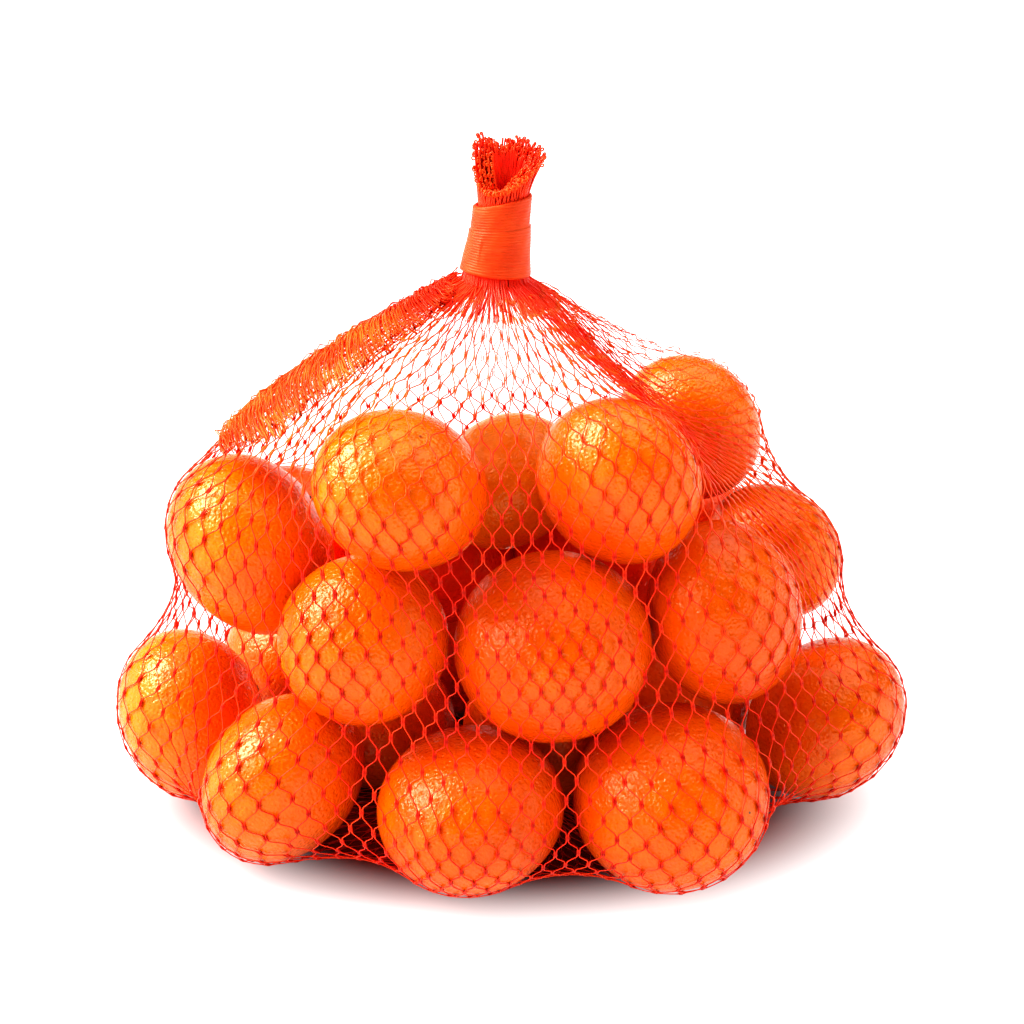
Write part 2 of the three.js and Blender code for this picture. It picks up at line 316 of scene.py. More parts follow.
def tube_faces(tubes, stations, sides):
    """Faces and UV strips of many open tubes, whose points run tube by tube, station by station."""
    one = grid_faces(stations, sides)
    offsets = np.arange(tubes)[:, None, None] * stations * sides
    faces = (one[None] + offsets).reshape(-1, 4)
    station = np.arange(stations - 1)[:, None] + 0 * np.arange(sides)[None, :]
    side = 0 * np.arange(stations - 1)[:, None] + np.arange(sides)[None, :]
    along = np.stack([station, station, station + 1, station + 1], -1) / (stations - 1)
    across = np.stack([side, side + 1, side + 1, side], -1) / sides * 0.8
    along = np.broadcast_to(along.reshape(1, -1, 4), (tubes, (stations - 1) * sides, 4))
    across = (across.reshape(1, -1, 4) + 0.1 + np.arange(tubes)[:, None, None]) / tubes
    strips = np.stack([along, across], -1).reshape(-1, 2)
    return faces, strips


def tube_points(paths, outward, radius, sides=4):
    """Rings of points round each path. paths and outward: tubes x stations x 3."""
    radius = np.broadcast_to(radius, paths.shape[:2])[..., None]
    tangent = unit(np.gradient(paths, axis=1))
    normal = unit(outward - (outward * tangent).sum(-1, keepdims=True) * tangent)
    binormal = np.cross(tangent, normal)
    rings = []
    for side in range(sides):
        turn = 2 * math.pi * (side + 0.5) / sides
        rings.append(paths + radius * (math.cos(turn) * normal + math.sin(turn) * binormal))
    return np.stack(rings, 2).reshape(-1, 3)


# ---- The heap of fruit --------------------------------------------------------------------------
HALVINGS = 24  # steps of the search for a resting height


def direction(lean, toward):
    """The way a stalk points: so many degrees off upright, towards an azimuth."""
    lean = math.radians(lean)
    toward = math.radians(toward)
    flat = math.sin(lean)
    return np.array([flat * math.cos(toward), flat * math.sin(toward), math.cos(lean)])


def reach(width, stalk, way):
    """How far an oblate fruit reaches from its middle along a way, towards a plane square to it."""
    return width / 2 * math.sqrt(1 - (1 - FLATNESS**2) * float(stalk @ way) ** 2)


def resting_height(x, y, width, stalk, below):
    """The height at which a fruit comes to rest on one below, or 0 where it misses it."""
    offset = np.array([x, y]) - below["centre"][:2]
    furthest = (width + below["width"]) / 2
    if np.hypot(*offset) >= furthest:
        return 0.0
    low = 0.0
    high = furthest
    for _ in range(HALVINGS):
        middle = (low + high) / 2
        apart = np.array([*offset, middle])
        distance = np.linalg.norm(apart)
        way = apart / distance
        if distance < reach(width, stalk, way) + reach(below["width"], below["stalk"], way):
            low = middle
        else:
            high = middle
    return below["centre"][2] + high


def pile_up():
    """The fruit in order, each on the floor or let down onto those before it."""
    pile = []
    for x, y, width, lean, toward, on_floor in FRUIT:
        stalk = direction(lean, toward)
        height = reach(width, stalk, np.array([0, 0, 1.0])) + NET_THICKNESS
        if not on_floor:
            for below in pile:
                height = max(height, resting_height(x, y, width, stalk, below))
        pile.append({"width": width, "stalk": stalk, "centre": np.array([x, y, height])})
    return pile


def exit_distance(ways, clearance):
    """How far from the middle of the heap each ray leaves the last fruit, with that much to spare."""
    farthest = np.zeros(ways.shape[:-1])
    for fruit in PILE:
        stalk = fruit["stalk"]
        stretch = 1 / FLATNESS - 1
        ray = ways + (ways @ stalk)[..., None] * stalk * stretch
        start = HEAP_MIDDLE - fruit["centre"]
        start = start + (start @ stalk) * stalk * stretch
        a = (ray**2).sum(-1)
        b = ray @ start
        half = fruit["width"] / 2 + clearance
        inside = b * b - a * (start @ start - half * half)
        out = (np.sqrt(np.maximum(inside, 0)) - b) / a
        farthest = np.maximum(farthest, np.where(inside > 0, out, 0))
    return farthest


PILE = pile_up()

FRONT = np.array([0, -0.94, 0.34])  # no stalk end points this way in the photo
SCAR_SIZE = {12: 0.0011, 21: 0.0015}  # radius in metres of the blossom ends that show
HIDDEN_SCAR_SIZE = 0.0005
# small dark specks: the place from the fruit's middle in millimetres, and the radius in metres
BLEMISHES = {3: [((-7.6, -22.3, 19.1), 0.0009), ((23.8, -20.8, 5.1), 0.0007)]}
# how deep each fruit's colour is: 0 lighter, 1 deeper, and past these for the palest and darkest. This
# is partly each fruit's own tone and partly painted shade and light: the fruit seen only in the gaps (14
# to 17) are deeper as painted shade, the top one (20) and two at the left (0, 18) paler as painted light
TONE_AND_PAINTED_SHADE = {0: -0.9, 1: 0.2, 2: 0.6, 3: 0.5, 4: 0.2, 11: 0.0, 12: 0.4, 13: 0.6, 14: 2.2,
            15: 2.6, 16: 2.6, 17: 1.8, 18: -0.8, 19: -0.4, 20: -2.4, 21: -0.1, 22: 0.4, 23: 0.0}
USUAL_TONE_AND_SHADE = 0.3
FILLS_GAP = {15: 2.0, 16: 2.0}  # extra radius of the two fruit that only show in the gaps
PEEL_GAP = 0.15  # between the peel and the width that the net is drawn over
PEEL_RINGS = 56
PEEL_SIDES = 80
LUMPS = 7
LUMP_HEIGHT = 0.3
DIMPLE_DEPTH = 1.7
DIMPLE_WIDTH = 5.5
SCAR_DEPTH = 0.5
SCAR_WIDTH = 2.0
CALYX_SIDES = 40
CALYX_RADIUS = 2.6
CALYX_POINTS = 0.8
CALYX_RINGS = ((1.0, 0.05), (0.85, 0.5), (0.45, 0.65), (0.3, 1.1), (0.12, 1.15))  # share, lift
STALK_SHARE = 0.4  # rings of a smaller share are round, not star-shaped


def peel_points(half, random):
    """An oblate, uneven fruit round its stalk axis: the blossom end, rings upwards, the stalk end."""
    latitude = np.linspace(-math.pi / 2, math.pi / 2, PEEL_RINGS + 2)[1:-1][:, None]
    around = 2 * math.pi * np.arange(PEEL_SIDES)[None, :] / PEEL_SIDES
    flat = np.cos(latitude)
    rings = [flat * np.cos(around), flat * np.sin(around), np.sin(latitude) + 0 * around]
    rings = np.stack(rings, -1).reshape(-1, 3)
    ways = np.concatenate([[[0, 0, -1.0]], rings, [[0, 0, 1.0]]])
    points = ways * np.array([half, half, half * FLATNESS])
    lumps = np.zeros(len(points))
    for _ in range(LUMPS):
        axis = unit(random.normal(size=3))
        phase = random.uniform(0, 6.28)
        lumps += np.cos(random.uniform(2.2, 4.6) * (ways @ axis) * 1.6 + phase)
    lumps = LUMP_HEIGHT * (lumps / np.abs(lumps).max() - 1)
    from_axis = np.hypot(points[:, 0], points[:, 1])
    dimple = DIMPLE_DEPTH * np.exp(-((from_axis / DIMPLE_WIDTH) ** 2)) * (ways[:, 2] > 0)
    scar = SCAR_DEPTH * np.exp(-((from_axis / SCAR_WIDTH) ** 2)) * (ways[:, 2] < 0)
    points = points + ways * lumps[:, None]
    points[:, 2] += scar - dimple
    return points


def peel_faces():
    """Faces and UV places of a fruit: quads between the rings, and a fan of triangles at each end."""
    side = np.arange(PEEL_SIDES)
    after = (side + 1) % PEEL_SIDES
    quads = grid_faces(PEEL_RINGS, PEEL_SIDES) + 1
    low_fan = np.stack([0 * side, 1 + after, 1 + side], -1)
    top_row = 1 + (PEEL_RINGS - 1) * PEEL_SIDES
    top_fan = np.stack([0 * side + top_row + PEEL_SIDES, top_row + side, top_row + after], -1)
    u = np.stack([side, side + 1, side + 1, side], -1) / PEEL_SIDES
    v = np.arange(PEEL_RINGS - 1)[:, None, None] + np.array([1, 1, 2, 2])[None, None, :]
    v = (v + 0 * u[None]) / (PEEL_RINGS + 1)
    quad_strips = np.stack([np.broadcast_to(u[None], v.shape), v], -1).reshape(-1, 2)
    low_u = np.stack([side + 0.5, side + 1, side], -1) / PEEL_SIDES
    low_v = np.stack([0 * side, 1 + 0 * side, 1 + 0 * side], -1) / (PEEL_RINGS + 1)
    top_u = np.stack([side + 0.5, side, side + 1], -1) / PEEL_SIDES
    low_strips = np.stack([low_u, low_v], -1).reshape(-1, 2)
    top_strips = np.stack([top_u, 1 - low_v], -1).reshape(-1, 2)
    faces = quads.tolist() + low_fan.tolist() + top_fan.tolist()
    return faces, np.concatenate([quad_strips, low_strips, top_strips])


def add_mandarin(index, fruit):
    """One fruit with a dimple and calyx at the stalk and a scar at the blossom end."""
    random = np.random.default_rng(100 + index)
    swollen = FILLS_GAP.get(index, 0.0)
    half = fruit["width"] / 2 - PEEL_GAP + swollen
    points = peel_points(half, random)
    faces, strips = peel_faces()
    stalk = fruit["stalk"] * (-1 if fruit["stalk"] @ FRONT > 0 else 1)
    turn = np.array(Vector(stalk).to_track_quat("Z", "Y").to_matrix())
    scar_place = -(half * FLATNESS + 0.3) * stalk * MM
    marks = [(scar_place, SCAR_SIZE.get(index, HIDDEN_SCAR_SIZE))]
    marks += [(np.array(place) * MM, size) for place, size in BLEMISHES.get(index, [])]
    tone_and_shade = TONE_AND_PAINTED_SHADE.get(index, USUAL_TONE_AND_SHADE)
    peel = peel_finish(f"peel_{index}", index + 1.0, tone_and_shade, marks)
    piece = add_piece(f"mandarin_{index:02d}", points @ turn.T, faces, peel, strips)
    piece.location = Vector((fruit["centre"] + np.array([0, 0, swollen])) * MM)
    finish_piece(piece, "net")
    calyx_points, calyx_faces = calyx_form(half * FLATNESS - DIMPLE_DEPTH, random)
    calyx = add_piece(f"calyx_{index:02d}", calyx_points @ turn.T, calyx_faces, STALK)
    calyx.location = piece.location
    finish_piece(calyx, "net")


def calyx_form(height, random):
    """The dry five-pointed calyx, which fills the dimple's bottom, with the stump of the stalk."""
    around = 2 * math.pi * np.arange(CALYX_SIDES) / CALYX_SIDES
    uneven = random.uniform(-0.15, 0.15, CALYX_SIDES)
    star = CALYX_RADIUS + CALYX_POINTS * np.cos(5 * around) + uneven
    rings = []
    for share, lift in CALYX_RINGS:
        ring = np.stack([star * share * np.cos(around), star * share * np.sin(around)], -1)
        if share < STALK_SHARE:
            ring = unit(ring) * CALYX_RADIUS * share
        from_axis = np.linalg.norm(ring, axis=-1)
        dip = DIMPLE_DEPTH * (1 - np.exp(-((from_axis / DIMPLE_WIDTH) ** 2)))
        rings.append(np.column_stack([ring, height + lift + dip]))
    return np.concatenate(rings), grid_faces(len(rings), CALYX_SIDES)


STALK = stalk_finish()
for index, fruit in enumerate(PILE):
    add_mandarin(index, fruit)

# ---- The net drawn over the heap ----------------------------------------------------------------
SKIN_AROUND = 240
SKIN_ROWS = 160
STRAND_RADIUS = 0.2
KNOT_EDGE_RADIUS = 0.34
KNOT_RADIUS = 0.54
CLEARANCE = 0.05  # between the yarns and the peel
SKIN_SWEEPS = 10
SKIN_EASE = 0.7


def crossing(ways, p, q):
    """Where each ray from the middle of the heap passes nearest to the line through two points."""
    line = unit(q - p)
    start = p - HEAP_MIDDLE
    slope = (ways * line).sum(-1)
    return ((start * ways).sum(-1) - (start * line).sum(-1) * slope) / (1 - slope * slope)


def taut_bag():
    """The bag as in the part's source, drawn tight over the heap: rings of points from foot to neck."""
    share = (np.arange(1, BAG_ROWS + 1) / BAG_ROWS)[:, None]
    angle = 2 * math.pi * np.arange(AROUND)[None, :] / AROUND
    rise = np.clip((share - SLACK_FOOT_SHARE) / (SLACK_SHOULDER_SHARE - SLACK_FOOT_SHARE), 0, 1)
    tent = np.clip((share - SLACK_SHOULDER_SHARE) / (1 - SLACK_SHOULDER_SHARE), 0, 1)
    spread = np.minimum(1, share / SLACK_FOOT_SHARE) * (1 - tent)
    x = NECK_CENTRE[0] * tent + (SLACK_HALF_LENGTH * spread + NECK_RADIUS * tent) * np.cos(angle)
    y = NECK_CENTRE[1] * tent + (SLACK_HALF_DEPTH * spread + NECK_RADIUS * tent) * np.sin(angle)
    z = SLACK_SHOULDER * rise + (NECK_HEIGHT - SLACK_SHOULDER) * tent + 0 * angle
    rings = np.stack([x, y, z], -1)
    ways = unit(rings - HEAP_MIDDLE)[:-1]
    distance = np.linalg.norm(rings - HEAP_MIDDLE, axis=-1)[:-1]
    nearest = exit_distance(ways, STRAND_RADIUS + CLEARANCE)
    furthest = np.where(ways[..., 2] < 0, -HEAP_MIDDLE[2] / np.minimum(ways[..., 2], -1e-6), 1e6)
    row = np.arange(BAG_ROWS - 1)[:, None] + 0 * angle.astype(int)
    puff = np.where(row > BAG_ROWS * SLACK_SHOULDER_SHARE, PUFF * np.maximum(0, -ways[..., 0]), 0)
    distance = np.where(row < FLAT_ROWS, furthest, distance)
    parity = (row + np.arange(AROUND)[None, :]) % 2
    for sweep in range(2 * SETTLING_SWEEPS):
        points = HEAP_MIDDLE + ways * distance[..., None]
        lower = np.concatenate([np.zeros((1, AROUND, 3)), points[:-1]])
        upper = np.concatenate([points[1:], rings[-1:]])
        along = crossing(ways, lower, upper)
        around = crossing(ways, np.roll(points, 1, 1), np.roll(points, -1, 1))
        drawn = (along + HOOP_TENSION * around) / (1 + HOOP_TENSION) + puff
        drawn = np.minimum(np.maximum(drawn, nearest), furthest)
        distance = np.where((parity == sweep % 2) & (row >= FLAT_ROWS), drawn, distance)
    rings[:-1] = HEAP_MIDDLE + ways * distance[..., None]
    return rings


class Skin:
    """The bag's outside, as a distance from the middle of the heap in every direction."""

    def __init__(self):
        self.azimuth = 2 * math.pi * np.arange(SKIN_AROUND) / SKIN_AROUND
        self.polar = np.linspace(math.radians(2), math.radians(178), SKIN_ROWS)
        polar, azimuth = np.meshgrid(self.polar, self.azimuth, indexing="ij")
        flat = np.sin(polar)
        ways = np.stack([flat * np.cos(azimuth), flat * np.sin(azimuth), np.cos(polar)], -1)
        nearest = exit_distance(ways, STRAND_RADIUS + CLEARANCE)
        floor = (STRAND_RADIUS - HEAP_MIDDLE[2]) / np.minimum(ways[..., 2], -1e-3)
        floor = np.where(ways[..., 2] < -1e-3, floor, 1e6)
        reached = self.drawn_distance(ways)
        reached = np.where(reached == 0, floor, reached)
        level = (NECK_HEIGHT - HEAP_MIDDLE[2]) / np.maximum(ways[..., 2], 1e-3)
        across = ways[..., :2] * level[..., None] - NECK_CENTRE
        in_neck = (ways[..., 2] > 0.5) & (np.hypot(across[..., 0], across[..., 1]) < NECK_RADIUS)
        reached = np.where(in_neck, level, reached)
        distance = np.clip(reached, nearest, floor)
        for _ in range(SKIN_SWEEPS):
            above = np.vstack([distance[:1], distance[:-1]])
            below = np.vstack([distance[1:], distance[-1:]])
            left = np.roll(distance, 1, 1)
            right = np.roll(distance, -1, 1)
            mean = (above + below + left + right) / 4
            mean = np.where(in_neck, level, mean)
            distance = np.clip(distance + SKIN_EASE * (mean - distance), nearest, floor)
        self.distance = distance

    def drawn_distance(self, ways):
        """Distance of the taut bag along each unit direction."""
        rings = taut_bag()
        faces = grid_faces(BAG_ROWS, AROUND).tolist()
        tree = BVHTree.FromPolygons(rings.reshape(-1, 3).tolist(), faces)
        origin = Vector(HEAP_MIDDLE)
        flat_ways = ways.reshape(-1, 3)
        found = np.zeros(len(flat_ways))
        for index, way in enumerate(flat_ways):
            hit = tree.ray_cast(origin, Vector(way))
            found[index] = hit[3] if hit[0] is not None else 0.0
        return found.reshape(ways.shape[:-1])

    def reach(self, ways):
        """Distance of the skin along each unit direction."""
        turn = np.mod(np.arctan2(ways[..., 1], ways[..., 0]), 2 * math.pi) / self.azimuth[1]
        step = self.polar[1] - self.polar[0]
        lean = (np.arccos(np.clip(ways[..., 2], -1, 1)) - self.polar[0]) / step
        lean = np.clip(lean, 0, SKIN_ROWS - 1.001)
        column = np.floor(turn).astype(int)
        row = np.floor(lean).astype(int)
        across = turn - column
        down = lean - row
        column = column % SKIN_AROUND
        after = (column + 1) % SKIN_AROUND
        upper = self.distance[row, column] * (1 - across) + self.distance[row, after] * across
        lower = self.distance[row + 1, column] * (1 - across)
        lower = lower + self.distance[row + 1, after] * across
        return upper * (1 - down) + lower * down

    def lay(self, points, lift=0.0):
        """Moves points along their rays onto the skin, but never into a fruit."""
        ways = unit(points - HEAP_MIDDLE)
        distance = self.reach(ways)
        distance = np.maximum(distance, exit_distance(ways, STRAND_RADIUS)) + lift
        return HEAP_MIDDLE + ways * distance[..., None]


SKIN = Skin()

WALES = 80  # knots in a row round the bag
ROWS = 47  # from the neck to the foot
TENT_ROWS = 10  # the rows at the neck that keep one height
TENT_ROW = 7.2
STRAND = 9.6  # length of yarn from knot to knot
KNOT_HALF = 1.0
YARN_APART = 0.27
LEG_SHARES = (0.2, 0.5, 0.8)
LEG_PULL = 0.25
FOOT_RING = 2.2  # radius of the last row, drawn together under the bag
MERIDIANS = 72
RELAX_SWEEPS = 90
RELAX_PULL = 0.25
SLACK_PULL = 0.05
SHAKE = 0.35
KNOT_STATIONS = (KNOT_EDGE_RADIUS, KNOT_RADIUS, KNOT_EDGE_RADIUS)
STATION_RADII = (STRAND_RADIUS,) * len(LEG_SHARES) + KNOT_STATIONS


def gathered(angle, peaks):
    """Where each wale goes when the net is bunched up at the peaks (direction, width, pull)."""
    fine = np.linspace(0, 2 * math.pi, 4 * 360 + 1)
    density = np.ones_like(fine)
    for centre, width, pull in peaks:
        away = fine - math.pi / 2 - centre
        away = np.arctan2(np.sin(away), np.cos(away))
        density += pull * np.exp(-((away / width) ** 2))
    total = np.concatenate([[0], np.cumsum((density[1:] + density[:-1]) / 2)])
    total *= 2 * math.pi / total[-1]
    from_front = np.mod(angle + math.pi / 2, 2 * math.pi)
    return np.interp(from_front, total, fine) - math.pi / 2


def bunches(row):
    """The right fold, which runs down between the upper fruit, the left band and the open back."""
    fold_at = np.interp(row, (3, 6, 10, 13, 17, 23, 31), (-0.65, -0.6, -0.35, 0.05, 0.22, 0.1, 0))
    fold = np.interp(row, (0, 1, 3, 6, 10, 13, 17, 23, 31), (0, 0.8, 2.2, 3.2, 2.2, 1.4, 0.9, 0.3, 0))
    band = np.interp(row, (0, 1, 3, 8, 11, 15, 19), (0, 0.4, 1.2, 1.4, 0.8, 0.3, 0))
    back = np.interp(row, (0, 1, 3, 11, 19), (0, -0.1, -0.35, -0.35, 0))
    return [(fold_at, 0.3, fold), (3.2, 0.5, band), (math.pi / 2, 0.9, back)]


def smooth(value, low, high):
    """0 where value is at or below low, rising smoothly to 1 at high."""
    share = np.clip((value - low) / (high - low), 0, 1)
    return share * share * (3 - 2 * share)


def meridians(count):
    """Lengths along the skin from the neck down, on lines of steady azimuth."""
    polar = np.linspace(math.radians(5.2), math.radians(178.9), 500)
    azimuth = 2 * math.pi * np.arange(count) / count
    ways = ways_at(polar[:, None], azimuth[None, :])
    points = SKIN.lay(ways * 100 + HEAP_MIDDLE)
    pieces = np.linalg.norm(np.diff(points, axis=0), axis=-1)
    return polar, azimuth, np.vstack([np.zeros((1, count)), np.cumsum(pieces, 0)])


def ways_at(polar, azimuth):
    """Unit directions from the heap's middle, whose pole leans to the neck."""
    flat = np.sin(polar)
    rise = np.cos(polar)
    lean = np.maximum(rise, 0) / (NECK_HEIGHT - HEAP_MIDDLE[2])
    x = flat * np.cos(azimuth) + lean * NECK_CENTRE[0]
    y = flat * np.sin(azimuth) + lean * NECK_CENTRE[1]
    return unit(np.stack([x, y, rise + 0 * azimuth], -1))


def lay_knots():
    """Places of the knots, row 0 at the neck and the last row under the bag."""
    polar, azimuth, lengths = meridians(MERIDIANS)
    lengths = np.hstack([lengths, lengths[:, :1]])
    azimuth = np.append(azimuth, 2 * math.pi)
    random = np.random.default_rng(7)
    knots = np.zeros((ROWS + 1, WALES, 3))
    for row in range(ROWS + 1):
        angle = 2 * math.pi * (np.arange(WALES) + 0.5 * (row % 2)) / WALES
        turn = gathered(angle, bunches(row))
        if row <= TENT_ROWS:
            down = np.full((1, len(azimuth)), TENT_ROW * row)
        else:
            rest = lengths[-1:] - TENT_ROW * TENT_ROWS
            down = TENT_ROW * TENT_ROWS + rest * (row - TENT_ROWS) / (ROWS - TENT_ROWS)
        leans = [np.interp(down[0, i], lengths[:, i], polar) for i in range(len(azimuth))]
        lean = np.interp(np.mod(turn, 2 * math.pi), azimuth, leans)
        knots[row] = SKIN.lay(ways_at(lean, turn) * 100 + HEAP_MIDDLE)
    last_angle = 2 * math.pi * (np.arange(WALES) + 0.5 * (ROWS % 2)) / WALES
    ring = np.stack([np.cos(last_angle), np.sin(last_angle)], -1)
    knots[ROWS] = np.column_stack([FOOT_RING * ring, np.full(WALES, STRAND_RADIUS)])
    relax(knots)
    in_tent = smooth(-np.arange(ROWS + 1), -13, -7)[:, None, None]
    shake = random.normal(0, SHAKE, knots.shape) * in_tent
    shake[0] = 0
    knots[1:-1] = SKIN.lay((knots + shake)[1:-1])
    return knots


def neighbour(row, side):
    """Which wale of the next row the left or right yarn of each knot goes to."""
    shift = (side - 1) if row % 2 == 0 else side
    return (np.arange(WALES) + shift) % WALES


def relax(knots):
    """Evens the mesh out: taut strands pull, slack ones don't."""
    links = np.array([[neighbour(row, side) for row in range(ROWS)] for side in (0, 1)])
    rows = np.arange(ROWS)[:, None]
    for _ in range(RELAX_SWEEPS):
        pull = np.zeros_like(knots)
        for side in (0, 1):
            strand = knots[rows + 1, links[side]] - knots[:-1]
            length = np.linalg.norm(strand, axis=-1, keepdims=True)
            force = strand * (SLACK_PULL + np.maximum(0, length - STRAND) / length)
            pull[:-1] += force
            np.subtract.at(pull, (rows + 1, links[side]), force)
        knots[1:-1] = SKIN.lay(knots[1:-1] + RELAX_PULL * pull[1:-1])


def yarn_paths(knots):
    """Paths of the two yarns of each wale: they run side by side through a knot, then part."""
    ways = unit(knots - HEAP_MIDDLE)
    outward = unit(ways * np.array([1, 1, 0.7]))
    down = np.zeros_like(knots)
    down[1:-1] = knots[2:] - knots[:-2]
    for row in range(1, ROWS):
        beside = neighbour(row, row % 2)
        below = (knots[row + 1] + knots[row + 1][beside]) / 2
        above = (knots[row - 1] + knots[row - 1][beside]) / 2
        down[row] = below - above
    down[0] = down[1]
    down[-1] = down[-2]
    down = unit(down)
    sideways = unit(np.cross(down, outward))
    paths = []
    for yarn in range(2 * WALES):
        stations = []
        wale = yarn // 2
        sign = 1 if yarn % 2 else -1
        for row in range(ROWS + 1):
            if row % 2 == 0:
                place = wale
                edge = sign
            else:
                place = wale if sign > 0 else (wale - 1) % WALES
                edge = -sign
            stations.append((knots[row, place], down[row, place], sideways[row, place], edge))
        paths.append(yarn_path(stations))
    return np.array(paths)


def yarn_path(stations):
    """One yarn: straight through each knot, and a curved leg with some slack to the next."""
    points = []
    previous = None
    for knot, down, sideways, edge in stations:
        centre = knot - sideways * edge * YARN_APART
        start = centre - down * KNOT_HALF
        end = centre + down * KNOT_HALF
        if previous is not None:
            begin, begin_down = previous
            span = np.linalg.norm(start - begin)
            slack = max(0.0, STRAND - 2 * KNOT_HALF - span)
            pull = LEG_PULL * span + LEG_PULL * slack
            for share in LEG_SHARES:
                back = 1 - share
                first = begin + begin_down * pull
                second = start - down * pull
                point = back**3 * begin + 3 * back**2 * share * first
                point = point + 3 * back * share**2 * second + share**3 * start
                points.append(point)
        points.extend((start, centre, end))
        previous = (end, down)
    return points


def loosened(paths):
    """The tent's yarns stray from the skin, and all of them run up into the tie."""
    random = np.random.default_rng(11)
    stray = random.normal(0, 1.0, paths.shape[:2])
    stray = sum(np.roll(stray, shift, 1) for shift in range(-3, 4)) / 7
    leaves_fruit = smooth(paths[..., 2], 118, 150)
    below_neck = smooth(-paths[..., 2], -189, -183)
    paths = SKIN.lay(paths, np.maximum(-0.2, 1.6 * stray) * (leaves_fruit * below_neck))
    into_tie = paths[:, :1].copy()
    into_tie[..., :2] = NECK_CENTRE + (into_tie[..., :2] - NECK_CENTRE) * 0.93
    into_tie[..., 2] = NECK_HEIGHT + 7
    return np.concatenate([into_tie, paths], 1)


def away_from_heap(paths):
    """Outward directions: from the heap's middle, and near the neck from its axis."""
    near_neck = smooth(paths[..., 2], 150, 185)[..., None]
    from_axis = np.zeros_like(paths)
    from_axis[..., :2] = paths[..., :2] - NECK_CENTRE
    return unit(unit(paths - HEAP_MIDDLE) * (1 - near_neck) + unit(from_axis) * near_neck)


def add_net():
    """The knotted yarns, thinner in the tent and at the back of it, in a right and a left half."""
    paths = loosened(yarn_paths(lay_knots()))
    outward = away_from_heap(paths)
    radius = np.array([STRAND_RADIUS, *KNOT_STATIONS] + list(STATION_RADII) * ROWS)
    knotted = (radius - STRAND_RADIUS) / (KNOT_RADIUS - STRAND_RADIUS)
    high = smooth(paths[..., 2], 125, 150)
    far = smooth(paths[..., 1], 0, 20) * high
    radius = STRAND_RADIUS + (radius - STRAND_RADIUS)[None, :] * (1 - 0.55 * high)
    radius = radius * (1 - 0.4 * far)
    # painted light in a paler orange: the left band, the right side, and the knots high in the tent and
    # at its back
    left = smooth(-paths[..., 0], 20, 45) * high
    right = smooth(paths[..., 0], 40, 75) * smooth(paths[..., 2], 75, 100)
    painted_lit = np.clip(left + 0.45 * right + (0.8 * high + far) * knotted[None, :], 0, 1)
    knotted = np.broadcast_to(knotted[None, :], painted_lit.shape)
    half = len(paths) // 2
    for part, name in enumerate(("net_right", "net_left")):
        chosen = np.roll(np.arange(len(paths)), half // 2)[part * half : (part + 1) * half]
        add_yarns(name, paths[chosen], outward[chosen], radius[chosen], knotted[chosen], painted_lit[chosen])


def add_yarns(name, paths, outward, radius, knotted, painted_lit):
    """Many yarns as one piece. knotted: how much each station is a knot; the last argument: how much
    painted light, in a paler orange, each station takes; both 0 to 1.
    """
    sides = 4
    points = tube_points(paths, outward, radius, sides)
    faces, strips = tube_faces(len(paths), paths.shape[1], sides)
    piece = add_piece(name, points, faces, YARN, strips)
    for mark, values in (("knot", knotted), ("painted_lit", painted_lit)):
        layer = piece.data.attributes.new(mark, "FLOAT", "POINT")
        values = np.repeat(np.broadcast_to(values, paths.shape[:2]), sides)
        layer.data.foreach_set("value", values.astype(np.float32))
    finish_piece(piece, "net")


BAND_CROSSINGS = 136
BAND_LAYERS = 3
BAND_LENGTH = 92.0
BAND_AZIMUTH = 3.26  # the left edge, a little to the front
BAND_RADIUS = 0.18
BAND_KNOTS = 0.16  # share of its stations that are knots
CROSSING_POINTS = 9
NECK_YARNS = 300
NECK_YARN_RADIUS = 0.32


def slope_places(down, azimuth):
    """Points on the skin at a length down from the neck on each azimuth."""
    polar, lines, lengths = meridians(MERIDIANS)
    column = np.round(np.mod(azimuth, 2 * math.pi) / lines[1]).astype(int) % len(lines)
    lean = np.array([np.interp(d, lengths[:, c], polar) for d, c in zip(down, column)])
    return SKIN.lay(ways_at(lean, azimuth) * 100 + HEAP_MIDDLE)


